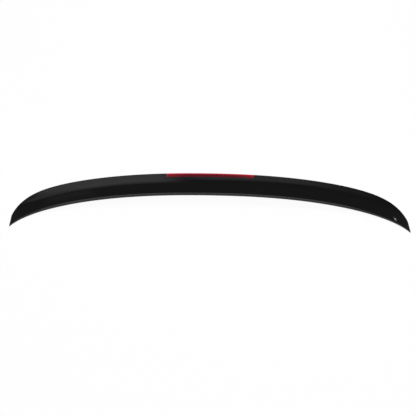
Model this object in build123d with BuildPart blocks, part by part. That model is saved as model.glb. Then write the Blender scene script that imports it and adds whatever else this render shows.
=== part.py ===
from build123d import *
import os
from math import pi, sin, sqrt

# Rear lip spoiler of a saloon car's boot lid, with a built-in LED stop lamp in its trailing edge.
# Millimetres. X runs along the spoiler, Y to the rear of the car and Z up. The origin lies midway
# between the mouths of the two inner threaded inserts.

# Plan form: both long edges sweep forward towards the tips, and the underside follows the lid's crown
half_span = 620.0
chord = 86.3
front_sweep = 158.0
front_fullness = 2.53
front_overrun = 16.7
rear_sweep = 189.0
rear_fullness = 2.45
rear_overrun = 1.5
crown = 32.0

# Section corners above the foot, at the middle and at the tips, and how late the tips taper
nose_height = 8.0
nose_height_tip = 4.0
valley_height = 20.0
valley_height_tip = 4.9
ridge_height = 34.0
ridge_height_tip = 5.5
rear_drop = 24.0
rear_drop_tip = 3.2
tip_taper = 15.4

# Section depths along Y, the leg length of each rounded corner, and what share of it is left at the tips
nose_lean = 1.5
lip_depth = 27.0
lip_depth_tip = 14.0
undercut = 9.0
undercut_tip = 2.5
nose_round = 2.5
valley_round = 15.0
ridge_round = 2.4
heel_round = 2.0
round_tip_share = 0.5
corner_flats = 3

# Moulded walls: the shell, its solid tips, and the rebate that takes the lower panel
wall = 2.8
tip_solid = 12.0
rim = 1.4
ledge = 1.5
panel_thickness = 2.5
panel_gap = 0.25
glue_line = 0.2

# Fixings in the lower panel
inner_insert_x = 160.0
outer_insert_x = 430.0
insert_setback = 46.0
insert_radius = 4.0
insert_bore = 2.5
insert_length = 9.5
insert_fit = 0.05
pad_size = 24.0
pad_stand = 1.0
boss_radius = 6.5
boss_cap = 1.6
gasket_size = 22.0
gasket_bore = 4.5
gasket_thickness = 1.5

# Stiffening ribs, drain holes and the wire's grommet in the lower panel
rib_offset = 85.0
rib_width = 2.0
rib_height = 3.5
rib_setback = 13.0
drain_from_tip = 55.0
drain_radius = 2.5
grommet_bore = 2.5
grommet_neck = 5.5
grommet_flange = 8.0
grommet_lip = 1.2
grommet_fit = 0.1

# Adhesive foam tapes under the panel
tape_width = 8.0
tape_thickness = 2.0
tape_inset = 4.0
tape_end = 30.0
rear_tape_start = 200.0
rear_tape_from_tip = 70.0

# Stop lamp: lens, tray, seal and fixing ears
lens_half = 140.0
lens_top = 12.4
lens_drop = 17.0
lens_wall = 2.4
lens_gap = 0.4
tray_wall = 1.8
flange_width = 5.0
flange_thickness = 1.8
heel_flange = 3.5
seal_thickness = 1.2
ear_length = 19.0
ear_depth = 6.6
ear_thickness = 2.5
screw_inset = 7.0
screw_radius = 1.45
screw_clearance = 0.25
screw_bite = 5.5
screw_head_radius = 2.8
screw_head_height = 1.8
screw_slot_length = 3.2
screw_slot_width = 0.9
screw_slot_depth = 1.0
screw_boss_radius = 3.2
wire_seal_x = 30.0
wire_seal_height = 2.1
wire_seal_bore = 0.9
wire_seal_neck = 1.5
wire_seal_flange = 1.9
wire_seal_lip = 1.0
wire_seal_fit = 0.05

# Circuit board and what is soldered to it
board_end_gap = 6.0
board_gap = 0.3
board_height = 6.2
board_thickness = 1.2
solder_gap = 0.1
led_count = 20
led_margin = 8.5
led_size = 3.0
led_depth = 1.4
led_window = 2.2
led_window_depth = 0.4
resistor_count = 10
resistor_margin = 15.0
resistor_length = 2.0
resistor_height = 1.2
resistor_depth = 0.6
diode_x = 0.0
diode_length = 4.0
diode_height = 1.4
diode_depth = 1.0

# Cutters reach this far past what they cut
over_cut = 5.0

# Sections on each side of the middle, for the long and the short lofts
skin_steps = 10
hollow_steps = 9
tape_steps = 8
lamp_steps = 3


def forward_run(x, sweep, fullness, overrun):
    """How far an edge has swept forward at x: nothing at the middle, the whole sweep at the tips."""

    def bow(distance):
        return 1 - (1 - (distance / (half_span + overrun)) ** fullness) ** (1 / fullness)

    return sweep * bow(abs(x)) / bow(half_span)


def front_edge(x):
    """Y of the front foot at x."""
    run = forward_run(x, front_sweep, front_fullness, front_overrun)
    return forward_run(inner_insert_x, front_sweep, front_fullness, front_overrun) - run - insert_setback


def rear_edge(x):
    """Y of the ridge and of the upright rear face at x."""
    return front_edge(0) + chord - forward_run(x, rear_sweep, rear_fullness, rear_overrun)


def seat(x):
    """Z of the underside at x, which falls towards the tips with the lid's crown."""
    return pad_stand + crown * (inner_insert_x**2 - x**2) / half_span**2


def tapered(middle, tip, x):
    """A section size at x, which keeps its middle value until close to the tips."""
    return middle + (tip - middle) * (abs(x) / half_span) ** tip_taper


def slant(edge, x):
    """How much longer a wall square to a swept edge measures along Y than across."""
    step = half_span / 1000
    slope = (edge(abs(x)) - edge(abs(x) - step)) / step
    return sqrt(1 + slope**2)


def outline(x):
    """Corners of the outside at x, from the front foot over the top to the rear foot."""
    front = front_edge(x)
    rear = rear_edge(x)
    base = seat(x)
    valley = base + tapered(valley_height, valley_height_tip, x)
    ridge = base + tapered(ridge_height, ridge_height_tip, x)
    return [
        Vector(front, base),
        Vector(front + nose_lean, base + tapered(nose_height, nose_height_tip, x)),
        Vector(rear - tapered(lip_depth, lip_depth_tip, x), valley),
        Vector(rear, ridge),
        Vector(rear, ridge - tapered(rear_drop, rear_drop_tip, x)),
        Vector(rear - tapered(undercut, undercut_tip, x), base),
    ]


def from_front(x, distance):
    """Y of a line inside the front foot, the distance measured square to the edge."""
    return front_edge(x) + distance * slant(front_edge, x)


def from_rear(x, distance):
    """Y of a line inside the rear foot, the distance measured square to the edge."""
    return outline(x)[-1].X - distance * slant(rear_edge, x)


def at_depth(start, end, y, depth):
    """The point at y on the line from start to end, moved down by depth."""
    return Vector(y, start.Y + (end.Y - start.Y) * (y - start.X) / (end.X - start.X) - depth)


def on_lip(x, back, depth):
    """A point of the lip at x, so far in front of the ridge and so deep under the surface."""
    valley, ridge = outline(x)[2:4]
    return at_depth(valley, ridge, ridge.X - back, depth)


def across(x):
    """The plane across the spoiler at x, with its own x axis to the rear and its own y axis up."""
    return Plane(origin=(x, 0, 0), x_dir=(0, 1, 0), z_dir=(1, 0, 0))


def stations(half_length, count):
    """Places of the sections from end to end, closer together towards the ends."""
    return [half_length * sin(pi / 2 * step / count) for step in range(-count, count + 1)]


def rounded(corners, legs):
    """The corners with each inner one rounded off, by a few flats that follow a curve of the given leg."""
    points = [corners[0]]
    for before, corner, after, leg in zip(corners, corners[1:], corners[2:], legs):
        enter = corner + (before - corner).normalized() * leg
        leave = corner + (after - corner).normalized() * leg
        for step in range(corner_flats + 1):
            share = step / corner_flats
            entering = enter + (corner - enter) * share
            leaving = corner + (leave - corner) * share
            points.append(entering + (leaving - entering) * share)
    return points + [corners[-1]]


def flat_section(x, corners):
    """A straight-sided section at x."""
    with BuildSketch(across(x)) as section:
        with BuildLine():
            Polyline(*corners, close=True)
        make_face()
    return section.sketch


def skin_section(x):
    """The whole outside of the spoiler at x."""
    share = tapered(1, round_tip_share, x)
    legs = [leg * share for leg in (nose_round, valley_round, ridge_round, heel_round)]
    return flat_section(x, rounded(outline(x), legs))


def hollow_section(x):
    """The room inside the shell at x, down to the foot."""
    front_foot, nose, valley, ridge, heel, rear_foot = outline(x)
    front_face = nose.X + wall * slant(front_edge, x)
    rear_face = ridge.X - wall * slant(rear_edge, x)
    corners = [
        Vector(from_front(x, rim + ledge), front_foot.Y),
        at_depth(nose, valley, front_face, wall),
        Vector(valley.X, valley.Y - wall),
        at_depth(valley, ridge, rear_face, wall),
        Vector(rear_face, heel.Y),
        Vector(from_rear(x, rim + ledge), rear_foot.Y),
    ]
    return flat_section(x, corners)


def panel_section(x, margin, bottom, top):
    """A level section at x, set in by the margin from both feet, between two heights over the foot."""
    front = from_front(x, margin)
    rear = from_rear(x, margin)
    base = seat(x)
    corners = [
        Vector(front, base + bottom),
        Vector(rear, base + bottom),
        Vector(rear, base + top),
        Vector(front, base + top),
    ]
    return flat_section(x, corners)


def window_section(x, margin):
    """The lamp's opening at x: all that lies behind the lens front and above its lower edge."""
    ridge = outline(x)[3]
    front = ridge.X - lens_top - margin
    foot = ridge.Y - lens_drop - margin
    corners = [
        Vector(front, foot),
        Vector(ridge.X + over_cut, foot),
        Vector(ridge.X + over_cut, ridge.Y + over_cut),
        Vector(front, ridge.Y + over_cut),
    ]
    return flat_section(x, corners)


def band_section(x, reach, heel_reach, outer, inner):
    """An angle-shaped band at x that follows the lip and the rear face between two depths."""
    ridge = outline(x)[3]
    front = lens_top + reach
    foot = ridge.Y - lens_drop - heel_reach
    corners = [
        on_lip(x, front, outer),
        on_lip(x, outer, outer),
        Vector(ridge.X - outer, foot),
        Vector(ridge.X - inner, foot),
        on_lip(x, inner, inner),
        on_lip(x, front, inner),
    ]
    return flat_section(x, corners)


def lens_section(x):
    """The lens at x: an angle with the shell's own rounded ridge outside."""
    ridge = outline(x)[3]
    foot = ridge.Y - lens_drop
    outside = [on_lip(x, lens_top, 0), ridge, Vector(ridge.X, foot)]
    inside = [
        Vector(ridge.X - lens_wall, foot),
        on_lip(x, lens_wall, lens_wall),
        on_lip(x, lens_top, lens_wall),
    ]
    return flat_section(x, rounded(outside, [ridge_round]) + inside)


def tray_section(x):
    """The filled outline of the lamp's tray at x, a weld line inside the lens."""
    ridge = outline(x)[3]
    foot = ridge.Y - lens_drop
    depth = lens_wall + glue_line
    corners = [
        Vector(ridge.X - lens_top, foot),
        Vector(ridge.X - depth, foot),
        on_lip(x, depth, depth),
        on_lip(x, lens_top, depth),
    ]
    return flat_section(x, corners)


def board_section(x):
    """The circuit board at x, upright against the tray's front wall."""
    back = board_back(x)
    foot = board_foot(x)
    corners = [
        Vector(back, foot),
        Vector(back + board_thickness, foot),
        Vector(back + board_thickness, foot + board_height),
        Vector(back, foot + board_height),
    ]
    return flat_section(x, corners)


def board_back(x):
    """Y of the circuit board's back at x."""
    return rear_edge(x) - lens_top + tray_wall + board_gap


def tray_foot(x):
    """Z of the underside of the lamp's tray at x."""
    return outline(x)[3].Y - lens_drop


def board_foot(x):
    """Z of the circuit board's lower edge at x."""
    return tray_foot(x) + tray_wall + board_gap


def spread(count, half_length):
    """Evenly spaced places along X from end to end."""
    return [half_length * (2 * step / (count - 1) - 1) for step in range(count)]


def on_board(x, height):
    """A place on the circuit board's face at x, a solder gap off it."""
    return (x, board_back(x) + board_thickness + solder_gap, board_foot(x) + height)


hollow_half = half_span - tip_solid
board_half = lens_half - tray_wall - board_end_gap
drain_x = half_span - drain_from_tip
rear_tape_end = half_span - rear_tape_from_tip
insert_places = (-outer_insert_x, -inner_insert_x, inner_insert_x, outer_insert_x)
insert_mouths = [(x, front_edge(x) + insert_setback, seat(x) - pad_stand) for x in insert_places]
grommet_place = (0, front_edge(0) + insert_setback, seat(0))
screw_x = lens_half + ear_length - screw_inset
screw_y = rear_edge(lens_half) - lens_top + ear_depth / 2
ear_foot = tray_foot(lens_half)
screw_places = [(side * screw_x, screw_y, ear_foot) for side in (-1, 1)]
boss_foot = ear_foot + ear_thickness + glue_line
wire_seal_place = (
    wire_seal_x,
    rear_edge(wire_seal_x) - lens_top - wire_seal_fit,
    tray_foot(wire_seal_x) + wire_seal_height,
)
above = (Align.CENTER, Align.CENTER, Align.MIN)
below = (Align.CENTER, Align.CENTER, Align.MAX)
behind = (Align.CENTER, Align.MIN, Align.CENTER)
to_rear = (-90, 0, 0)

# Room inside the shell, with the two lamp screw bosses left standing in it
with BuildPart() as shell_room:
    hollow_places = stations(hollow_half, hollow_steps)
    loft([hollow_section(x) for x in hollow_places])
    with Locations(*[(x, y, boss_foot) for x, y, z in screw_places]):
        Cylinder(screw_boss_radius, ridge_height, align=above, mode=Mode.SUBTRACT)
    loft([panel_section(x, rim, -over_cut, panel_thickness + glue_line) for x in hollow_places])

# Upper shell: the painted moulding, hollow from below, with the lamp's opening across its ridge
with BuildPart() as upper_shell:
    loft([skin_section(x) for x in stations(half_span, skin_steps)])
    add(shell_room.part, mode=Mode.SUBTRACT)
    window_places = stations(lens_half + lens_gap, lamp_steps)
    loft([window_section(x, lens_gap) for x in window_places], mode=Mode.SUBTRACT)
    with Locations(*[(x, y, boss_foot) for x, y, z in screw_places]):
        Cylinder(screw_radius, screw_bite + glue_line, align=above, mode=Mode.SUBTRACT)
upper_shell.part.label = "upper_shell"

# Lower panel: the plate glued into the shell's rebate, with insert bosses, ribs and holes
with BuildPart() as lower_panel:
    panel_half = hollow_half - panel_gap
    loft([panel_section(x, rim + panel_gap, 0, panel_thickness) for x in stations(panel_half, hollow_steps)])
    with Locations(*insert_mouths):
        Box(pad_size, pad_size, pad_stand + panel_thickness, align=above)
        Cylinder(boss_radius, insert_length + boss_cap, align=above)
    for insert_x in insert_places:
        for x in (insert_x - rib_offset, insert_x + rib_offset):
            rib_front = from_front(x, rib_setback)
            rib_length = from_rear(x, rib_setback) - rib_front
            rib_foot = seat(x) + panel_thickness / 2
            with Locations((x, rib_front, rib_foot)):
                Box(
                    rib_width,
                    rib_length,
                    panel_thickness / 2 + rib_height,
                    align=(Align.CENTER, Align.MIN, Align.MIN),
                )
    with Locations(*insert_mouths):
        Cylinder(insert_radius + insert_fit, insert_length + insert_fit, align=above, mode=Mode.SUBTRACT)
    with Locations(grommet_place):
        Cylinder(grommet_neck + grommet_fit, over_cut * 2, mode=Mode.SUBTRACT)
    for x in (-drain_x, drain_x):
        with Locations((x, (from_front(x, 0) + from_rear(x, 0)) / 2, seat(x))):
            Cylinder(drain_radius, over_cut * 2, mode=Mode.SUBTRACT)
lower_panel.part.label = "lower_panel"

# Threaded inserts: turned brass sleeves pressed into the bosses
with BuildPart() as threaded_inserts:
    with Locations(*insert_mouths):
        Cylinder(insert_radius, insert_length, align=above)
        Cylinder(insert_bore, insert_length, align=above, mode=Mode.SUBTRACT)
threaded_inserts.part.label = "threaded_inserts"

# Foam washers, cut square from sheet, under the insert pads
with BuildPart() as insert_gaskets:
    with Locations(*insert_mouths):
        Box(gasket_size, gasket_size, gasket_thickness, align=below)
        Cylinder(gasket_bore, gasket_thickness, align=below, mode=Mode.SUBTRACT)
insert_gaskets.part.label = "insert_gaskets"


def tape_section(x, front, rear):
    """A strip of foam tape at x, a glue line under the panel."""
    top = seat(x) - glue_line
    corners = [
        Vector(front, top - tape_thickness),
        Vector(rear, top - tape_thickness),
        Vector(rear, top),
        Vector(front, top),
    ]
    return flat_section(x, corners)


# Front tape: one strip behind the whole front edge
with BuildPart() as tape_front:
    loft(
        [
            tape_section(x, from_front(x, tape_inset), from_front(x, tape_inset + tape_width))
            for x in stations(hollow_half - tape_end, tape_steps)
        ]
    )
tape_front.part.label = "tape_front"

# Rear tapes: one strip on each side, outside the lamp's wire
rear_tapes = {}
for side, name in ((-1, "tape_rear_left"), (1, "tape_rear_right")):
    with BuildPart() as tape_rear:
        tape_middle = (rear_tape_start + rear_tape_end) / 2
        tape_half = (rear_tape_end - rear_tape_start) / 2
        loft(
            [
                tape_section(side * x, from_rear(x, tape_inset + tape_width), from_rear(x, tape_inset))
                for x in [tape_middle + offset for offset in spread(tape_steps, tape_half)]
            ]
        )
    tape_rear.part.label = name
    rear_tapes[name] = tape_rear.part

# Lamp lens: a red angle that carries the shell's lip and rear face across the opening
with BuildPart() as lamp_lens:
    loft([lens_section(x) for x in stations(lens_half, lamp_steps)])
lamp_lens.part.label = "lamp_lens"

# Lamp housing: a tray open to the lens, with a flange behind the opening and two screw ears
with BuildPart() as lamp_housing:
    flange_depth = wall + seal_thickness
    flange_half = lens_half + flange_width
    loft(
        [
            band_section(x, flange_width, heel_flange, flange_depth, flange_depth + flange_thickness)
            for x in stations(flange_half, lamp_steps)
        ]
    )
    loft([window_section(x, 0) for x in stations(lens_half, lamp_steps)], mode=Mode.SUBTRACT)
    loft([tray_section(x) for x in stations(lens_half, lamp_steps)])
    tray_room_places = stations(lens_half - tray_wall, lamp_steps)
    loft([window_section(x, -tray_wall) for x in tray_room_places], mode=Mode.SUBTRACT)
    for side in (-1, 1):
        with Locations((side * (lens_half - tray_wall), screw_y, ear_foot)):
            Box(
                ear_length + tray_wall,
                ear_depth,
                ear_thickness,
                align=(Align.MIN if side > 0 else Align.MAX, Align.CENTER, Align.MIN),
            )
    with Locations(*screw_places):
        Cylinder(screw_radius + screw_clearance, over_cut * 2, mode=Mode.SUBTRACT)
    with Locations(wire_seal_place):
        Cylinder(wire_seal_neck + wire_seal_fit, over_cut, rotation=to_rear, mode=Mode.SUBTRACT)
lamp_housing.part.label = "lamp_housing"

# Lamp seal: a foam frame pressed between the flange and the inside of the shell
with BuildPart() as lamp_gasket:
    loft(
        [
            band_section(x, flange_width, heel_flange, wall + glue_line, wall + seal_thickness - glue_line)
            for x in stations(flange_half, lamp_steps)
        ]
    )
    loft([window_section(x, lens_gap) for x in window_places], mode=Mode.SUBTRACT)
lamp_gasket.part.label = "lamp_gasket"

# Circuit board, bent to the lamp's gentle curve
with BuildPart() as led_board:
    loft([board_section(x) for x in stations(board_half, lamp_steps)])
led_board.part.label = "led_board"

# Light-emitting diodes: packages with a shallow window that faces the rear
with BuildPart() as leds:
    for x in spread(led_count, board_half - led_margin):
        with Locations(on_board(x, board_height / 2)):
            Box(led_size, led_depth, led_size, align=behind)
            with Locations((0, led_depth, 0)):
                Box(led_window, led_window_depth * 2, led_window, mode=Mode.SUBTRACT)
leds.part.label = "leds"

# Series resistors, one between each pair of diodes
with BuildPart() as board_resistors:
    for x in spread(resistor_count, board_half - resistor_margin):
        with Locations(on_board(x, resistor_height)):
            Box(resistor_length, resistor_depth, resistor_height, align=behind)
board_resistors.part.label = "board_resistors"

# Reverse-polarity diode
with BuildPart() as board_diode:
    with Locations(on_board(diode_x, board_height - diode_height)):
        Box(diode_length, diode_depth, diode_height, align=behind)
board_diode.part.label = "board_diode"

# Lamp screws: cross-slotted pan heads under the ears, shanks up into the shell's bosses
with BuildPart() as lamp_screws:
    with Locations(*screw_places):
        Cylinder(screw_head_radius, screw_head_height, align=below)
        Cylinder(screw_radius, ear_thickness + screw_bite, align=above)
    with Locations(*[(x, y, z - screw_head_height) for x, y, z in screw_places]):
        Box(screw_slot_length, screw_slot_width, screw_slot_depth, align=above, mode=Mode.SUBTRACT)
        Box(screw_slot_width, screw_slot_length, screw_slot_depth, align=above, mode=Mode.SUBTRACT)
lamp_screws.part.label = "lamp_screws"

# Wire seal: a small rubber bush in the tray's front wall, for the lamp's two-core wire
with BuildPart() as lamp_wire_seal:
    with Locations(wire_seal_place):
        Cylinder(wire_seal_neck, tray_wall, rotation=to_rear, align=above)
        Cylinder(wire_seal_flange, wire_seal_lip, rotation=to_rear, align=below)
        Cylinder(wire_seal_bore, over_cut * 2, rotation=to_rear, mode=Mode.SUBTRACT)
lamp_wire_seal.part.label = "lamp_wire_seal"

# Grommet: a grooved rubber ring that lines the panel's hole for the wire
with BuildPart() as wire_grommet:
    with BuildSketch(Plane(origin=grommet_place, x_dir=(1, 0, 0), z_dir=(0, -1, 0))):
        with BuildLine():
            Polyline(
                (grommet_bore, -grommet_fit - grommet_lip),
                (grommet_flange, -grommet_fit - grommet_lip),
                (grommet_flange, -grommet_fit),
                (grommet_neck, -grommet_fit),
                (grommet_neck, panel_thickness + grommet_fit),
                (grommet_flange, panel_thickness + grommet_fit),
                (grommet_flange, panel_thickness + grommet_fit + grommet_lip),
                (grommet_bore, panel_thickness + grommet_fit + grommet_lip),
                close=True,
            )
        make_face()
    revolve(axis=Axis(grommet_place, (0, 0, 1)))
wire_grommet.part.label = "wire_grommet"

os.makedirs("parts", exist_ok=True)
export_step(upper_shell.part, "parts/upper_shell.step")
export_step(lower_panel.part, "parts/lower_panel.step")
export_step(threaded_inserts.part, "parts/threaded_inserts.step")
export_step(insert_gaskets.part, "parts/insert_gaskets.step")
export_step(tape_front.part, "parts/tape_front.step")
for name, tape in rear_tapes.items():
    export_step(tape, f"parts/{name}.step")
export_step(lamp_lens.part, "parts/lamp_lens.step")
export_step(lamp_housing.part, "parts/lamp_housing.step")
export_step(lamp_gasket.part, "parts/lamp_gasket.step")
export_step(led_board.part, "parts/led_board.step")
export_step(leds.part, "parts/leds.step")
export_step(board_resistors.part, "parts/board_resistors.step")
export_step(board_diode.part, "parts/board_diode.step")
export_step(lamp_screws.part, "parts/lamp_screws.step")
export_step(lamp_wire_seal.part, "parts/lamp_wire_seal.step")
export_step(wire_grommet.part, "parts/wire_grommet.step")
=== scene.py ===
import bmesh
import bpy
from math import cos, pi, radians, sin, sqrt, tan, tau
from mathutils import Matrix, Vector


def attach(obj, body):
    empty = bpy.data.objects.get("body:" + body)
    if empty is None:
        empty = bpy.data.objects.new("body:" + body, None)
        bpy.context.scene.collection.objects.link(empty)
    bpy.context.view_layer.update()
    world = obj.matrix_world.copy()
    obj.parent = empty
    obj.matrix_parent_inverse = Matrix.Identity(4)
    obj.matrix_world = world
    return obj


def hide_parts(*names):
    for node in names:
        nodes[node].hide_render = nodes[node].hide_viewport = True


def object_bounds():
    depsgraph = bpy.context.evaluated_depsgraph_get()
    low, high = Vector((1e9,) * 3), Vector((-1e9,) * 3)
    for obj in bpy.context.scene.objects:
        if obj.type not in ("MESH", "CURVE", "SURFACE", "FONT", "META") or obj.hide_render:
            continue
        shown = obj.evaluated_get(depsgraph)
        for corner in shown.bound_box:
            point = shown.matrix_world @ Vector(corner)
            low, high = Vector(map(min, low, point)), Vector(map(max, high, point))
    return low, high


# Rear lip spoiler of a boot lid with a stop lamp in its trailing edge, dressed for the studio.
# Metres, in the frame of the solids: X along the spoiler, Y to the rear of the car, Z up.
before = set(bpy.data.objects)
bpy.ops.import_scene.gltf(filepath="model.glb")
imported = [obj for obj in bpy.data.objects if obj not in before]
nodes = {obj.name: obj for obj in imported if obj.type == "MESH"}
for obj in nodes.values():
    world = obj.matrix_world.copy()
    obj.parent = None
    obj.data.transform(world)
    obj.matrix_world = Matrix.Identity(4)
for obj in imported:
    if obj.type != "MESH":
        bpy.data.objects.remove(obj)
cad_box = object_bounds()

# Upper shell: one injection-moulded skin of the whole spoiler, hollow below, sprayed gloss black.
# Its nose, deck, valley and kicked-up lip run from tip to tip, and an opening across the middle of
# the ridge takes the lamp's lens. The lower panel is glued inside its rim.
half_span = 0.620
chord = 0.08629
front_sweep, front_fullness, front_overrun = 0.158, 2.53, 0.0167
rear_sweep, rear_fullness, rear_overrun = 0.189, 2.45, 0.0015
crown = 0.032
pad_stand = 0.001
inner_insert_x = 0.160
insert_setback = 0.046
tip_taper = 15.4
nose_lean = 0.0015
nose_height, nose_height_tip = 0.008, 0.004
valley_height, valley_height_tip = 0.020, 0.0049
ridge_height, ridge_height_tip = 0.03399, 0.0055
rear_drop, rear_drop_tip = 0.024, 0.0032
lip_depth, lip_depth_tip = 0.027, 0.014
undercut, undercut_tip = 0.009, 0.0025
corner_legs = (0.0025, 0.015, 0.0024, 0.002)
leg_share_at_tip = 0.5
corner_steps = 8
deck_shares = (0.25, 0.5, 0.75)
tip_solid = 0.012
tip_edge = 0.0009
lens_half = 0.140
lens_top = 0.0124
lens_drop = 0.017
lens_gap = 0.0004


def forward_run(x, sweep, fullness, overrun):
    """How far an edge has swept forward at x."""

    def bow(distance):
        return 1 - (1 - (distance / (half_span + overrun)) ** fullness) ** (1 / fullness)

    return sweep * bow(abs(x)) / bow(half_span)


def front_edge(x):
    """Y of the front foot at x."""
    run = forward_run(x, front_sweep, front_fullness, front_overrun)
    return forward_run(inner_insert_x, front_sweep, front_fullness, front_overrun) - run - insert_setback


def rear_edge(x):
    """Y of the ridge and of the upright rear face at x."""
    return front_edge(0) + chord - forward_run(x, rear_sweep, rear_fullness, rear_overrun)


def seat(x):
    """Z of the underside at x, which falls towards the tips with the lid's crown."""
    return pad_stand + crown * (inner_insert_x**2 - x**2) / half_span**2


def tapered(middle, tip, x):
    """A section size at x, which keeps its middle value until close to the tips."""
    return middle + (tip - middle) * (abs(x) / half_span) ** tip_taper


def outline(x):
    """Corners of the section at x as (y, z), from the front foot over the top to the rear foot."""
    front = front_edge(x)
    rear = rear_edge(x)
    base = seat(x)
    valley = base + tapered(valley_height, valley_height_tip, x)
    ridge = base + tapered(ridge_height, ridge_height_tip, x)
    return [
        Vector((front, base)),
        Vector((front + nose_lean, base + tapered(nose_height, nose_height_tip, x))),
        Vector((rear - tapered(lip_depth, lip_depth_tip, x), valley)),
        Vector((rear, ridge)),
        Vector((rear, ridge - tapered(rear_drop, rear_drop_tip, x))),
        Vector((rear - tapered(undercut, undercut_tip, x), base)),
    ]


def rounded(corners, legs, between):
    """The corners with each inner one rounded, and extra points at shares of the straight runs."""
    points = [corners[0]]
    last = corners[0]
    for before, corner, after, leg, shares in zip(corners, corners[1:], corners[2:], legs, between):
        enter = corner + (before - corner).normalized() * leg
        leave = corner + (after - corner).normalized() * leg
        points += [last.lerp(enter, share) for share in shares]
        for step in range(corner_steps + 1):
            share = step / corner_steps
            points.append(enter.lerp(corner, share).lerp(corner.lerp(leave, share), share))
        last = leave
    return points + [corners[-1]]


def along_lip(x, back):
    """A point of the lip's straight slope at x, so far in front of the ridge."""
    valley, ridge = outline(x)[2:4]
    return ridge.lerp(valley, back / (ridge.x - valley.x))


def share_of_run(start, end, start_leg, end_leg, point):
    """Where a point lies on a run between two rounded corners, from 0 to 1."""
    run = (end - start).length - start_leg - end_leg
    return ((point - start).length - start_leg) / run


middle_valley, middle_ridge, middle_heel = outline(0)[2:5]
valley_leg, ridge_leg, heel_leg = corner_legs[1:]
opening_front_point = along_lip(0, lens_top + lens_gap)
opening_front = share_of_run(middle_valley, middle_ridge, valley_leg, ridge_leg, opening_front_point)
opening_foot_point = middle_ridge - Vector((0, lens_drop + lens_gap))
opening_foot = share_of_run(middle_ridge, middle_heel, ridge_leg, heel_leg, opening_foot_point)
outer_runs = ((), deck_shares, (opening_front,), (opening_foot,))
opening_first_row = 1 + len(deck_shares) + 2 * (corner_steps + 1)
opening_last_row = opening_first_row + corner_steps + 2
opening_rows = (opening_first_row, opening_last_row)


def shell_ring(x):
    """The shell's outside at x, from foot to foot, drawn in where the edge of the tip is rounded."""
    share = tapered(1, leg_share_at_tip, x)
    ring = rounded(outline(x), [leg * share for leg in corner_legs], outer_runs)
    lowest = Vector([min(point[axis] for point in ring) for axis in (0, 1)])
    highest = Vector([max(point[axis] for point in ring) for axis in (0, 1)])
    centre = (lowest + highest) / 2
    into_edge = max(0, abs(x) - half_span + tip_edge)
    drawn_in = tip_edge - sqrt(tip_edge**2 - into_edge**2)
    scale = [1 - 2 * drawn_in / size for size in highest - lowest]
    return [centre + (point - centre) * Vector(scale) for point in ring]


def drawn_along(places, ring):
    """A skin drawn through the rings at the given places along X.

    Returns its mesh and each vertex's column and row. The mesh carries a layer, mid_ring, that rises
    from 0 at the start of a ring to 1 halfway along it and falls back to 0 at its end.
    """
    rows = len(ring(0)) - 1
    columns = len(places) - 1
    mesh = bmesh.new()
    mid_ring = mesh.verts.layers.float.new("mid_ring")
    bmesh.ops.create_grid(mesh, x_segments=columns, y_segments=rows, size=1)
    rings = [ring(x) for x in places]
    grid = {}
    for vertex in mesh.verts:
        column = round((vertex.co.x + 1) / 2 * columns)
        row = round((vertex.co.y + 1) / 2 * rows)
        grid[vertex] = (column, row)
        vertex[mid_ring] = sin(pi * row / rows)
        vertex.co = (places[column], *rings[column][row])
    return mesh, grid


def in_block(part, grid, columns, rows):
    """Whether all the vertices of an edge or a face lie in a block of the grid."""
    places = [grid[vertex] for vertex in part.verts]
    return all(columns[0] <= column <= columns[1] and rows[0] <= row <= rows[1] for column, row in places)


def cut_opening(mesh, grid, columns, rows):
    """Takes the faces of a block of the grid away, with the edges and vertices that only they used."""
    block = [face for face in mesh.faces if in_block(face, grid, columns, rows)]
    bmesh.ops.delete(mesh, geom=block, context="FACES")


same_place = 0.000001


def edges_across(mesh, x):
    """The edges that lie in the plane across the spoiler at x."""
    return [edge for edge in mesh.edges if all(abs(v.co.x - x) < same_place for v in edge.verts)]


opening_columns = 36
wing_columns = 70
wing_bunching = 0.6
tip_columns = 6
edge_columns = 4
opening_half = lens_half + lens_gap
panel_end = half_span - tip_solid
tip_flat = tip_solid - tip_edge
wing = [(step / wing_columns) ** wing_bunching for step in range(wing_columns + 1)]
right_places = [opening_half + (panel_end - opening_half) * share for share in wing]
right_places += [panel_end + tip_flat * (step + 1) / tip_columns for step in range(tip_columns)]
edge_turns = [pi / 2 * (step + 1) / edge_columns for step in range(edge_columns)]
right_places += [half_span - tip_edge * (1 - sin(turned)) for turned in edge_turns]
middle_places = [opening_half * (2 * step / opening_columns - 1) for step in range(1, opening_columns)]
shell_places = [-x for x in reversed(right_places)] + middle_places + right_places
shell_mesh, shell_grid = drawn_along(shell_places, shell_ring)
first_opening_column = len(right_places) - 1
last_opening_column = first_opening_column + opening_columns
last_column = len(shell_places) - 1
last_row = len(shell_ring(0)) - 1
cut_opening(shell_mesh, shell_grid, (first_opening_column, last_opening_column), opening_rows)
closed_columns = tip_columns + edge_columns
for tip in ((0, closed_columns), (last_column - closed_columns, last_column)):
    feet = [
        edge
        for edge in shell_mesh.edges
        if in_block(edge, shell_grid, tip, (0, 0)) or in_block(edge, shell_grid, tip, (last_row, last_row))
    ]
    bmesh.ops.bridge_loops(shell_mesh, edges=feet)
for x in (-half_span, half_span):
    bmesh.ops.holes_fill(shell_mesh, edges=edges_across(shell_mesh, x), sides=0)
bmesh.ops.recalc_face_normals(shell_mesh, faces=shell_mesh.faces)

# Inside of the shell: the core side of the same moulding, with the rebate that takes the lower panel.
# It is joined to the outside along the rim and around the lamp's opening.
shell_wall = 0.0028
ridge_wall = 0.0042
shell_rim = 0.0014
rebate_height = 0.0027
hollow_legs = (0.001, 0.013, 0.001, 0.001)
slope_step = 0.00062
room_setback = 0.0003
opening_lowest = 0.008


def slant(edge, x):
    """How much longer a wall square to a swept edge measures along Y than across."""
    slope = (edge(abs(x)) - edge(abs(x) - slope_step)) / slope_step
    return sqrt(1 + slope**2)


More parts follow.
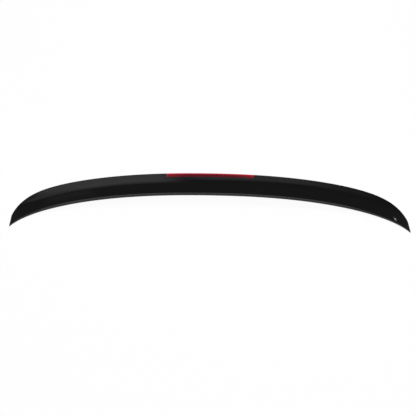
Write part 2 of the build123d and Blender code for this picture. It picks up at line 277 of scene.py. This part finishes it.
def hollow_outline(x):
    """Corners of the room inside the shell at x, above the rebate for the lower panel."""
    front_foot, nose, valley, ridge, heel, rear_foot = outline(x)
    front_slant = slant(front_edge, x)
    rear_slant = slant(rear_edge, x)
    return [
        front_foot + Vector((shell_rim * front_slant, rebate_height)),
        nose + Vector((shell_wall * front_slant, -shell_wall)),
        valley - Vector((0, shell_wall)),
        ridge - Vector((shell_wall * rear_slant, ridge_wall)),
        heel - Vector((shell_wall * rear_slant, 0)),
        rear_foot + Vector((-shell_rim * rear_slant, rebate_height)),
    ]


inner_valley, inner_ridge, inner_heel = hollow_outline(0)[2:5]
inner_valley_leg, inner_ridge_leg, inner_heel_leg = hollow_legs[1:]
inner_run = inner_ridge.x - inner_valley.x
inner_share = (middle_ridge.x - lens_top - lens_gap - inner_valley.x) / inner_run
inner_front_point = inner_valley.lerp(inner_ridge, inner_share)
inner_front = share_of_run(inner_valley, inner_ridge, inner_valley_leg, inner_ridge_leg, inner_front_point)
inner_foot_point = Vector((inner_ridge.x, opening_foot_point.y))
inner_foot = share_of_run(inner_ridge, inner_heel, inner_ridge_leg, inner_heel_leg, inner_foot_point)
inner_runs = ((), deck_shares, (inner_front,), (inner_foot,))


def hollow_ring(x):
    """The inside of the shell at x, from rim to rim."""
    share = tapered(1, leg_share_at_tip, x)
    corners = hollow_outline(x)
    rise = Vector((0, rebate_height))
    ring = rounded(corners, [leg * share for leg in hollow_legs], inner_runs)
    return [corners[0] - rise] + ring + [corners[-1] - rise]


def make_piece(name, mesh, sharp_angle):
    """A finished object with smooth faces and crisp edges, from a bmesh whose faces point outwards."""
    data = bpy.data.meshes.new(name)
    mesh.to_mesh(data)
    mesh.free()
    data.shade_smooth()
    data.set_sharp_from_angle(angle=sharp_angle)
    piece = bpy.data.objects.new(name, data)
    bpy.context.scene.collection.objects.link(piece)
    return piece


room_end = panel_end - room_setback
hollow_places = shell_places[closed_columns : last_column - closed_columns + 1]
room_places = [max(-room_end, min(room_end, x)) for x in hollow_places]
room_mesh, room_grid = drawn_along(room_places, hollow_ring)
room_columns = (first_opening_column - closed_columns, last_opening_column - closed_columns)
cut_opening(room_mesh, room_grid, room_columns, [row + 1 for row in opening_rows])
for x in (-room_end, room_end):
    bmesh.ops.contextual_create(room_mesh, geom=edges_across(room_mesh, x))
bmesh.ops.recalc_face_normals(room_mesh, faces=room_mesh.faces)
room_data = bpy.data.meshes.new("shell_room")
room_mesh.to_mesh(room_data)
room_mesh.free()
shell_mesh.from_mesh(room_data)
bpy.data.meshes.remove(room_data)
rims = [edge for edge in shell_mesh.edges if edge.is_boundary]
around_lens = [edge for edge in rims if all(v.co.z > seat(v.co.x) + opening_lowest for v in edge.verts)]
bmesh.ops.bridge_loops(shell_mesh, edges=around_lens)
around_panel = [edge for edge in shell_mesh.edges if edge.is_boundary]
bmesh.ops.bridge_loops(shell_mesh, edges=around_panel)
bmesh.ops.recalc_face_normals(shell_mesh, faces=shell_mesh.faces)
upper_shell = make_piece("painted_shell", shell_mesh, radians(40))
evened = upper_shell.modifiers.new("even_shading", "WEIGHTED_NORMAL")
evened.keep_sharp = True
evened.weight = 100


class Shade:
    """A socket of a material's nodes, with the arithmetic of its values."""

    def __init__(self, tree, socket=None):
        self.tree = tree
        self.socket = socket

    def node(self, kind, settings, sockets, output=0):
        """Adds a node with its settings and its sockets' values or links, and returns an output of it."""
        node = self.tree.nodes.new(kind)
        for name, value in settings.items():
            setattr(node, name, value)
        for name, value in sockets.items():
            if isinstance(value, Shade):
                self.tree.links.new(value.socket, node.inputs[name])
            else:
                node.inputs[name].default_value = value
        return Shade(self.tree, node.outputs[output] if node.outputs else None)

    def maths(self, operation, first, second=0.0):
        """A Math node on one or two values."""
        return self.node("ShaderNodeMath", {"operation": operation}, {0: first, 1: second})

    def __add__(self, other):
        return self.maths("ADD", self, other)

    def __radd__(self, other):
        return self.maths("ADD", other, self)

    def __sub__(self, other):
        return self.maths("SUBTRACT", self, other)

    def __rsub__(self, other):
        return self.maths("SUBTRACT", other, self)

    def __mul__(self, other):
        return self.maths("MULTIPLY", self, other)

    def __rmul__(self, other):
        return self.maths("MULTIPLY", other, self)

    def __pow__(self, other):
        return self.maths("POWER", self, other)


def new_finish(name):
    """A material with an empty tree. Returns it with the object coordinates of its surface."""
    material = bpy.data.materials.new(name)
    material.use_nodes = True
    material.node_tree.nodes.clear()
    start = Shade(material.node_tree)
    return material, start.node("ShaderNodeTexCoord", {}, {}, "Object")


def noise(place, scale, detail=2.0):
    """Soft cloudy values around a half."""
    return place.node("ShaderNodeTexNoise", {}, {"Vector": place, "Scale": scale, "Detail": detail}, "Fac")


def blend(place, factor, first, second):
    """A colour between two others, from the colour sockets of a Mix node, which go by number."""
    return place.node("ShaderNodeMix", {"data_type": "RGBA"}, {0: factor, 6: first, 7: second}, 2)


def relief(place, height, distance, strength=1.0):
    """A bumped normal."""
    return place.node("ShaderNodeBump", {}, {"Height": height, "Distance": distance, "Strength": strength})


def surface(place, **sockets):
    """Ends a material with a principled surface. Socket names are written with underscores for spaces."""
    named = {name.replace("_", " "): value for name, value in sockets.items()}
    shader = place.node("ShaderNodeBsdfPrincipled", {}, named)
    place.node("ShaderNodeOutputMaterial", {}, {"Surface": shader})


def dress(piece, material):
    """Gives a piece one material."""
    piece.data.materials.clear()
    piece.data.materials.append(material)


paint_deep = (0.0018, 0.0019, 0.0023, 1)
paint_hazy = (0.0028, 0.0029, 0.0033, 1)
gloss_black, place = new_finish("gloss_black_paint")
haze = noise(place, scale=9.0)
peel = noise(place, scale=120.0, detail=1.0)
surface(
    place,
    Base_Color=blend(place, haze, paint_deep, paint_hazy),
    Roughness=0.05 + haze * 0.05,
    IOR=1.48,
    Normal=relief(place, peel, distance=0.000004),
)
dress(upper_shell, gloss_black)
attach(upper_shell, "root")
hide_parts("upper_shell")

# Lower panel and lamp housing: black polypropylene mouldings with a fine spark-eroded grain.
# The panel closes the shell from below, and the housing hangs from two screws behind the lens.
plastic_dark = (0.012, 0.012, 0.013, 1)
plastic_pale = (0.021, 0.021, 0.022, 1)
grained_black, place = new_finish("black_plastic")
grain = noise(place, scale=1400.0, detail=3.0)
flow = noise(place, scale=14.0)
surface(
    place,
    Base_Color=blend(place, flow, plastic_dark, plastic_pale),
    Roughness=0.52 + grain * 0.16,
    Normal=relief(place, grain, distance=0.00012, strength=0.7),
)
dress(nodes["lower_panel"], grained_black)
dress(nodes["lamp_housing"], grained_black)

# Threaded inserts: turned brass sleeves pressed into the panel's bosses, for the bolts from the lid.
# Their bores are tapped, and both ends are chamfered.
outer_insert_x = 0.430
insert_radius = 0.004
insert_bore = 0.0025
insert_length = 0.0095
insert_edge = 0.0003
insert_columns = 48
thread_pitch = 0.001
thread_depth = 0.0005
rows_per_pitch = 6
insert_top = insert_length - insert_edge
thread_root = insert_bore + thread_depth
sleeve_profile = [
    (thread_root + insert_edge, 0.0),
    (insert_radius - insert_edge, 0.0),
    (insert_radius, insert_edge),
    (insert_radius, insert_top),
    (insert_radius - insert_edge, insert_length),
    (thread_root + insert_edge, insert_length),
]
thread_length = insert_top - insert_edge
thread_rows = round(thread_length / thread_pitch * rows_per_pitch)
thread_heights = [insert_top - thread_length * row / thread_rows for row in range(thread_rows + 1)]
insert_rows = len(sleeve_profile) + len(thread_heights)
insert_mesh = bmesh.new()
bmesh.ops.create_grid(insert_mesh, x_segments=insert_columns, y_segments=insert_rows, size=1)
for vertex in insert_mesh.verts:
    way_round = (vertex.co.x + 1) / 2
    row = round((vertex.co.y + 1) / 2 * insert_rows) % insert_rows
    if row < len(sleeve_profile):
        radius, height = sleeve_profile[row]
    else:
        height = thread_heights[row - len(sleeve_profile)]
        along_pitch = (height / thread_pitch - way_round) % 1
        radius = insert_bore + thread_depth * (1 - abs(2 * along_pitch - 1))
    vertex.co = (radius * cos(tau * way_round), radius * sin(tau * way_round), height)
bmesh.ops.remove_doubles(insert_mesh, verts=insert_mesh.verts, dist=same_place)
bmesh.ops.recalc_face_normals(insert_mesh, faces=insert_mesh.faces)
insert_places = (-outer_insert_x, -inner_insert_x, inner_insert_x, outer_insert_x)
insert_mouths = [Vector((x, front_edge(x) + insert_setback, seat(x) - pad_stand)) for x in insert_places]
turned_sleeve = insert_mesh.verts[:] + insert_mesh.edges[:] + insert_mesh.faces[:]
for mouth in insert_mouths[1:]:
    copied = bmesh.ops.duplicate(insert_mesh, geom=turned_sleeve)["geom"]
    copied_points = [part for part in copied if isinstance(part, bmesh.types.BMVert)]
    bmesh.ops.translate(insert_mesh, verts=copied_points, vec=mouth)
first_points = [part for part in turned_sleeve if isinstance(part, bmesh.types.BMVert)]
bmesh.ops.translate(insert_mesh, verts=first_points, vec=insert_mouths[0])
threaded_inserts = make_piece("tapped_inserts", insert_mesh, radians(30))
brass_dull = (0.62, 0.40, 0.14, 1)
brass_bright = (0.78, 0.56, 0.25, 1)
brass, place = new_finish("brass")
turning = place.node(
    "ShaderNodeTexWave",
    {"bands_direction": "Z"},
    {"Vector": place, "Scale": 900.0, "Distortion": 1.5},
    "Fac",
)
tarnish = noise(place, scale=240.0)
surface(
    place,
    Base_Color=blend(place, tarnish, brass_dull, brass_bright),
    Metallic=1.0,
    Roughness=0.2 + turning * 0.12 + tarnish * 0.1,
    Normal=relief(place, turning, distance=0.00003, strength=0.5),
)
dress(threaded_inserts, brass)
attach(threaded_inserts, "root")
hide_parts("threaded_inserts")

# Foam washers and the lamp's seal: closed-cell rubber foam, cut from sheet.
# The washers lie under the insert pads round the bolts, and the seal is pressed between the
# housing's flange and the shell.
foam_dark = (0.010, 0.010, 0.011, 1)
foam_pale = (0.028, 0.028, 0.030, 1)
foam, place = new_finish("black_foam")
cells = place.node("ShaderNodeTexVoronoi", {}, {"Vector": place, "Scale": 1300.0}, "Distance")
surface(
    place,
    Base_Color=blend(place, cells, foam_dark, foam_pale),
    Roughness=0.86 + cells * 0.1,
    Normal=relief(place, cells, distance=0.0003, strength=0.8),
)
dress(nodes["insert_gaskets"], foam)
dress(nodes["lamp_gasket"], foam)

# Adhesive tapes: grey acrylic foam strips, sticky on both sides and rolled onto the panel's underside.
# One runs behind the whole front edge, and one along the rear edge on each side of the lamp.
tape_dark = (0.15, 0.15, 0.155, 1)
tape_pale = (0.24, 0.24, 0.245, 1)
tape_grey, place = new_finish("grey_tape")
mottle = noise(place, scale=700.0, detail=4.0)
surface(
    place,
    Base_Color=blend(place, mottle, tape_dark, tape_pale),
    Roughness=0.62 + mottle * 0.2,
    Normal=relief(place, mottle, distance=0.0002, strength=0.6),
)
for name in ("tape_front", "tape_rear_left", "tape_rear_right"):
    dress(nodes[name], tape_grey)

# Circuit board: a thin strip of glass-epoxy laminate, bent to the lamp's curve inside the housing.
# White solder resist covers it, which throws the light of the diodes back at the lens.
resist_shade = (0.74, 0.75, 0.72, 1)
resist_over_copper = (0.80, 0.81, 0.78, 1)
board_white, place = new_finish("circuit_board")
weave = noise(place, scale=2500.0)
tracks = place.node(
    "ShaderNodeTexBrick",
    {"offset": 0.5},
    {
        "Vector": place,
        "Scale": 90.0,
        "Mortar Size": 0.06,
        "Color1": (0, 0, 0, 1),
        "Color2": (0, 0, 0, 1),
        "Mortar": (1, 1, 1, 1),
    },
    "Fac",
)
surface(
    place,
    Base_Color=blend(place, tracks, resist_shade, resist_over_copper),
    Roughness=0.3 + weave * 0.15,
    Normal=relief(place, weave, distance=0.00003, strength=0.5),
)
dress(nodes["led_board"], board_white)

# Light-emitting diodes: white moulded packages soldered in a row to the board, facing the lens.
# Each has a sloping cup, filled with clear resin that stands up as a low dome.
led_count = 20
led_row_half = 0.1237
led_size = 0.003
led_depth = 0.0014
led_rim = 0.0004
led_cup = 0.0004
cup_slope = 0.0002
led_corner = 0.0001
dome_radius = 0.00095
dome_flatness = 0.45
dome_sides, dome_rows = 16, 8
led_from_tray_front = 0.0034
led_from_tray_foot = 0.0052
led_mesh = bmesh.new()
for step in range(led_count):
    x = led_row_half * (2 * step / (led_count - 1) - 1)
    tray_front = rear_edge(x) - lens_top
    tray_foot = outline(x)[3].y - lens_drop
    soldered = Vector((x, tray_front + led_from_tray_front, tray_foot + led_from_tray_foot))
    body = bmesh.ops.create_cube(led_mesh, size=1)["verts"]
    bmesh.ops.scale(led_mesh, verts=body, vec=(led_size, led_depth, led_size))
    bmesh.ops.translate(led_mesh, verts=body, vec=soldered + Vector((0, led_depth / 2, 0)))
    body_faces = {face for v in body for face in v.link_faces}
    body_edges = {edge for v in body for edge in v.link_edges}
    window = max(body_faces, key=lambda face: face.calc_center_median().y)
    sides = [edge for edge in body_edges if edge not in window.edges[:]]
    bmesh.ops.inset_individual(led_mesh, faces=[window], thickness=led_rim)
    bmesh.ops.inset_individual(led_mesh, faces=[window], thickness=cup_slope, depth=-led_cup)
    bmesh.ops.bevel(
        led_mesh, geom=sides, offset=led_corner, affect="EDGES", segments=2, profile=0.5, material=-1
    )
    dome = bmesh.ops.create_uvsphere(
        led_mesh, u_segments=dome_sides, v_segments=dome_rows, radius=dome_radius
    )["verts"]
    bmesh.ops.scale(led_mesh, verts=dome, vec=(1, dome_flatness, 1))
    bmesh.ops.translate(led_mesh, verts=dome, vec=soldered + Vector((0, led_depth - led_cup, 0)))
    for face in {face for v in dome for face in v.link_faces}:
        face.material_index = 1
bmesh.ops.recalc_face_normals(led_mesh, faces=led_mesh.faces)
leds = make_piece("led_packages", led_mesh, radians(30))
package_dark = (0.62, 0.60, 0.54, 1)
package_pale = (0.74, 0.72, 0.66, 1)
led_white, place = new_finish("led_package")
mould = noise(place, scale=1800.0)
surface(
    place,
    Base_Color=blend(place, mould, package_dark, package_pale),
    Roughness=0.35 + mould * 0.2,
    Normal=relief(place, mould, distance=0.00004, strength=0.5),
)
resin_deep = (0.70, 0.52, 0.16, 1)
resin_pale = (0.82, 0.64, 0.24, 1)
led_resin, place = new_finish("led_resin")
bubbles = noise(place, scale=900.0)
surface(
    place,
    Base_Color=blend(place, bubbles, resin_deep, resin_pale),
    Roughness=0.08 + bubbles * 0.06,
    Normal=relief(place, bubbles, distance=0.00002, strength=0.4),
)
leds.data.materials.append(led_white)
leds.data.materials.append(led_resin)
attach(leds, "root")
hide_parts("leds")

# Resistors and diode: small chips in black epoxy, soldered to the face of the board.
# The resistors limit the current through the light-emitting diodes, and the diode guards against
# a wire that is joined the wrong way round.
epoxy_dark = (0.012, 0.012, 0.014, 1)
epoxy_pale = (0.032, 0.032, 0.034, 1)
chip_black, place = new_finish("chip_black")
fleck = noise(place, scale=3500.0)
surface(
    place,
    Base_Color=blend(place, fleck, epoxy_dark, epoxy_pale),
    Roughness=0.4 + fleck * 0.25,
    Normal=relief(place, fleck, distance=0.00004, strength=0.5),
)
dress(nodes["board_resistors"], chip_black)
dress(nodes["board_diode"], chip_black)

# Lamp screws: two zinc-plated steel screws with cross-slotted pan heads.
# They are driven up through the housing's ears into the shell's bosses.
zinc_dull = (0.52, 0.53, 0.55, 1)
zinc_bright = (0.68, 0.69, 0.70, 1)
zinc, place = new_finish("zinc_steel")
spangle = noise(place, scale=900.0)
surface(
    place,
    Base_Color=blend(place, spangle, zinc_dull, zinc_bright),
    Metallic=1.0,
    Roughness=0.25 + spangle * 0.2,
    Normal=relief(place, spangle, distance=0.00004, strength=0.5),
)
dress(nodes["lamp_screws"], zinc)

# Wire seal and grommet: moulded black rubber bushes, pushed into the holes in the housing and the
# panel by which the lamp's wire leaves them.
rubber_dark = (0.010, 0.010, 0.010, 1)
rubber_bloomed = (0.026, 0.025, 0.025, 1)
rubber, place = new_finish("black_rubber")
bloom = noise(place, scale=500.0, detail=4.0)
surface(
    place,
    Base_Color=blend(place, bloom, rubber_dark, rubber_bloomed),
    Roughness=0.6 + bloom * 0.25,
    Normal=relief(place, bloom, distance=0.0001, strength=0.6),
)
dress(nodes["lamp_wire_seal"], rubber)
dress(nodes["wire_grommet"], rubber)

# Lamp lens: a red acrylic angle, moulded flush with the lip, the ridge and the rear face, and welded
# to the housing. Fine upright flutes on its inside spread the light of the diodes.
lens_wall = 0.0024
flute_count = 70
flute_depth = 0.0006
flute_steps = 4
lens_fit = 0.0001
mid_lip = 0.5
lens_end = lens_half + lens_gap - lens_fit
flute_turn = pi * flute_count / (2 * lens_end)


def lens_ring(x):
    """The lens at x, closed: outside from the lip to the foot, and back along its fluted inside."""
    ridge = outline(x)[3]
    foot = ridge - Vector((0, lens_drop))
    outside = rounded([along_lip(x, lens_top), ridge, foot], [ridge_leg], [(mid_lip,)])
    wall = lens_wall - flute_depth * abs(sin(flute_turn * (x + lens_end)))
    inside = [
        Vector((ridge.x - wall, foot.y)),
        along_lip(x, wall) - Vector((0, wall)),
        along_lip(x, lens_top) - Vector((0, wall)),
    ]
    return outside + inside + outside[:1]


lens_columns = flute_count * flute_steps
lens_places = [lens_end * (2 * step / lens_columns - 1) for step in range(lens_columns + 1)]
lens_mesh = drawn_along(lens_places, lens_ring)[0]
bmesh.ops.remove_doubles(lens_mesh, verts=lens_mesh.verts, dist=same_place)
for x in (-lens_end, lens_end):
    bmesh.ops.holes_fill(lens_mesh, edges=edges_across(lens_mesh, x), sides=0)
bmesh.ops.recalc_face_normals(lens_mesh, faces=lens_mesh.faces)
lamp_lens = make_piece("red_lens", lens_mesh, radians(40))

# The red is deepest on the lip. From the ridge on, light shining through the lens is painted into the red,
# and painted highlights lie at the lip's front edge and towards both ends of the lens. The flutes' shade is
# painted through the rear face as fine dark lines.
red_deep = (0.034, 0.001, 0.004, 1)
red_backlit = (0.54, 0.018, 0.029, 1)
ridge_rise, ridge_painted_glow = 2.7, 0.75
front_fall, front_painted_highlight = 8, 0.15
end_painted_highlight = 0.25
flute_painted_shade = 0.3
swirl_light = 0.1
light_power = 4
red_lens, place = new_finish("red_lens")
swirl = noise(place, scale=60.0)
around = place.node("ShaderNodeAttribute", {"attribute_name": "mid_ring"}, {}, "Fac")
# Painted glow: light shining through the lens, painted in from the ridge on.
glow_past_lip = place.maths("MINIMUM", (around * ridge_rise) ** light_power, 1.0)
# Painted highlight along the lip's front edge of the lens.
front_highlight_mask = place.maths("MAXIMUM", 1 - around * front_fall, 0.0)
sideways = place.node("ShaderNodeSeparateXYZ", {}, {"Vector": place}, "X")
# Painted highlights towards both ends of the lens, growing with the distance from its middle.
near_end = place.maths("ABSOLUTE", sideways) * (1 / lens_half)
outward = place.node("ShaderNodeNewGeometry", {}, {}, "Normal")
rearward = place.node("ShaderNodeSeparateXYZ", {}, {"Vector": outward}, "Y")
rear_face = place.maths("MAXIMUM", rearward, 0.0)
# Painted shade of the inner flutes, drawn as fine dark lines on the rear face only.
flute = place.maths("SINE", sideways * flute_turn)
painted_flute_lines = flute * flute * rear_face * flute_painted_shade
# All the painted light and shade of the lens together; the swirl's own tone is added to it below.
painted_light = glow_past_lip * ridge_painted_glow + front_highlight_mask * front_painted_highlight + near_end**light_power * end_painted_highlight - painted_flute_lines
surface(
    place,
    Base_Color=blend(place, painted_light + swirl * swirl_light, red_deep, red_backlit),
    Roughness=0.06 + swirl * 0.04,
    IOR=1.49,
    Specular_IOR_Level=0.14,
    Transmission_Weight=0.08,
    Normal=relief(place, swirl, distance=0.00002),
)
dress(lamp_lens, red_lens)
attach(lamp_lens, "root")
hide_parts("lamp_lens")

# Studio floor: a wide disc of white paper under the tips, which the camera and the paint see as
# plain white, and which still takes the spoiler's soft shadow. It can be looked through from below.
floor_radius = 14
floor_sides = 96
paper_dark = (0.80, 0.80, 0.80, 1)
paper_pale = (0.82, 0.82, 0.82, 1)
white_light = (1, 1, 1, 1)
white_share = 0.95
floor_mesh = bmesh.new()
bmesh.ops.create_circle(floor_mesh, cap_ends=True, segments=floor_sides, radius=floor_radius)
bmesh.ops.translate(floor_mesh, verts=floor_mesh.verts, vec=(0, 0, cad_box[0][2]))
floor = make_piece("studio_floor", floor_mesh, radians(40))
white, place = new_finish("studio_white")
camera_ray = place.node("ShaderNodeLightPath", {}, {}, "Is Camera Ray")
glossy_ray = place.node("ShaderNodeLightPath", {}, {}, "Is Glossy Ray")
through_ray = place.node("ShaderNodeLightPath", {}, {}, "Is Transmission Ray")
seen = place.maths("MAXIMUM", place.maths("MAXIMUM", camera_ray, glossy_ray), through_ray)
cove = noise(place, scale=0.6)
paper = place.node("ShaderNodeBsdfDiffuse", {}, {"Color": blend(place, cove, paper_dark, paper_pale)})
plain_white = place.node("ShaderNodeEmission", {}, {"Color": white_light, "Strength": 1.0})
lit = place.node("ShaderNodeMixShader", {}, {0: seen * white_share, 1: paper, 2: plain_white})
below = place.node("ShaderNodeNewGeometry", {}, {}, "Backfacing")
open_air = place.node("ShaderNodeBsdfTransparent", {}, {})
one_sided = place.node("ShaderNodeMixShader", {}, {0: below, 1: lit, 2: open_air})
place.node("ShaderNodeOutputMaterial", {}, {"Surface": one_sided})
dress(floor, white)


# Studio lamps: large softboxes in front and behind, and a ceiling fill that the paint doesn't mirror.
# Four boxes hang low overhead, each at its own height, for the soft patches on the lip and the deck,
# and a very small lamp makes the glint at the right tip.
def softbox(name, stand, size, radiance, aim=None, fade=(0.2, 0.2), turned=0.0, spread=pi, mirrored=True):
    """An oblong studio lamp, which hangs straight down where no aim is given.

    Its cloth fades towards the edges, over a share of its width and of its height.
    """
    lamp = bpy.data.lights.new(name, "AREA")
    lamp.shape = "RECTANGLE"
    lamp.size, lamp.size_y = size
    narrowing = 1 if spread == pi else 1 - spread / 2 / tan(spread / 2)
    lamp.energy = radiance * pi * size[0] * size[1] * narrowing
    lamp.spread = spread
    lamp.use_nodes = True
    lamp.node_tree.nodes.clear()
    cloth = Shade(lamp.node_tree)
    across = cloth.node("ShaderNodeNewGeometry", {}, {}, "Parametric")
    strength = 1.0
    for axis, share in zip(("X", "Y"), fade):
        along = cloth.node("ShaderNodeSeparateXYZ", {}, {"Vector": across}, axis)
        from_edge = cloth.maths("MINIMUM", along, 1 - along)
        rising = cloth.maths("MINIMUM", from_edge * (1 / share), 1.0)
        strength = rising * rising * (3 - rising * 2) * strength
    light = cloth.node("ShaderNodeEmission", {}, {"Color": white_light, "Strength": strength})
    cloth.node("ShaderNodeOutputLight", {}, {"Surface": light})
    straight_down = (stand[0], stand[1], 0)
    direction = Vector(aim or straight_down) - Vector(stand)
    facing = Matrix.Rotation(turned, 3, "Z") @ direction.to_track_quat("-Z", "Y").to_matrix()
    box = bpy.data.objects.new(name, lamp)
    box.matrix_world = Matrix.Translation(stand) @ facing.to_4x4()
    box.visible_camera = False
    box.visible_glossy = mirrored
    bpy.context.scene.collection.objects.link(box)


softbox("front_softbox", stand=(0.5, -2.8, 2.6), size=(3.2, 2.4), radiance=3.1, aim=(0, 0, 0))
softbox("rear_softbox", stand=(0.2, 2.8, 1.1), size=(3.4, 1.6), radiance=2.0, aim=(0.2, 0, 0.1))
softbox("ceiling_fill", stand=(0, 0.4, 3.2), size=(4.0, 4.0), radiance=3.2, mirrored=False)
softbox(
    "left_overhead_softbox",
    stand=(-0.32, 0.185, 1.20),
    size=(0.52, 1.27),
    radiance=0.68,
    fade=(0.3, 0.39),
)
softbox(
    "left_rear_softbox",
    stand=(-0.60, 0.45, 1.23),
    size=(0.44, 0.76),
    radiance=0.36,
    fade=(0.5, 0.45),
)
softbox(
    "left_far_softbox",
    stand=(-0.62, 0.95, 1.26),
    size=(0.22, 0.20),
    radiance=0.17,
    fade=(0.3, 0.25),
    turned=radians(12),
)
softbox(
    "right_overhead_softbox",
    stand=(0.1425, 0.05, 1.17),
    size=(0.785, 0.80),
    radiance=0.40,
    fade=(0.34, 0.32),
    turned=radians(-18),
)
softbox(
    "tip_glint_lamp",
    stand=(0.633, 0.0295, 0.158),
    size=(0.009, 0.003),
    radiance=45.0,
    aim=(0.584, -0.142, -0.017),
    fade=(0.3, 0.3),
    spread=radians(7),
)

# Room round the studio: dim and even for the light that reaches the spoiler, so that its gloss stays
# black between the softboxes, and plain white where the camera looks past the floor.
room_light = 0.105
world = bpy.data.worlds.new("studio_room")
world.use_nodes = True
world.node_tree.nodes.clear()
room = Shade(world.node_tree)
looked_at = room.node("ShaderNodeLightPath", {}, {}, "Is Camera Ray")
brightness = room_light + looked_at * (1 - room_light)
walls = room.node("ShaderNodeBackground", {}, {"Color": white_light, "Strength": brightness})
room.node("ShaderNodeOutputWorld", {}, {"Surface": walls})
bpy.context.scene.world = world

# Camera: on the car's front side of the spoiler, thirty degrees up, as in the photograph.
# It stands four metres away with a long lens, for a flat perspective, and is rolled a little.
elevation = radians(30)
turn = radians(-1.5)
roll = radians(1.694)
distance = 4.0
focal_pixels = 1265.0
picture_pixels = 416
sensor_width = 36
target_ahead = 0.030
aim_right, aim_up = -0.0067, -0.0249
target = Vector((0, front_edge(0) - target_ahead, seat(0)))
level_right = Vector((cos(turn), sin(turn), 0))
away = Vector((sin(turn) * cos(elevation), -cos(turn) * cos(elevation), sin(elevation)))
level_up = away.cross(level_right)
stand = target + away * distance
aim = target + level_right * aim_right + level_up * aim_up
back = (stand - aim).normalized()
right = (level_right - back * level_right.dot(back)).normalized()
up = back.cross(right)
tilted_right = right * cos(roll) + up * sin(roll)
tilted_up = back.cross(tilted_right)
camera_data = bpy.data.cameras.new("photo_camera")
camera_data.sensor_width = sensor_width
camera_data.lens = focal_pixels / picture_pixels * sensor_width
camera = bpy.data.objects.new("photo_camera", camera_data)
axes = Matrix((tilted_right, tilted_up, back)).transposed()
camera.matrix_world = Matrix.Translation(stand) @ axes.to_4x4()
bpy.context.scene.collection.objects.link(camera)
bpy.context.scene.camera = camera
bpy.context.scene.view_settings.view_transform = "Standard"
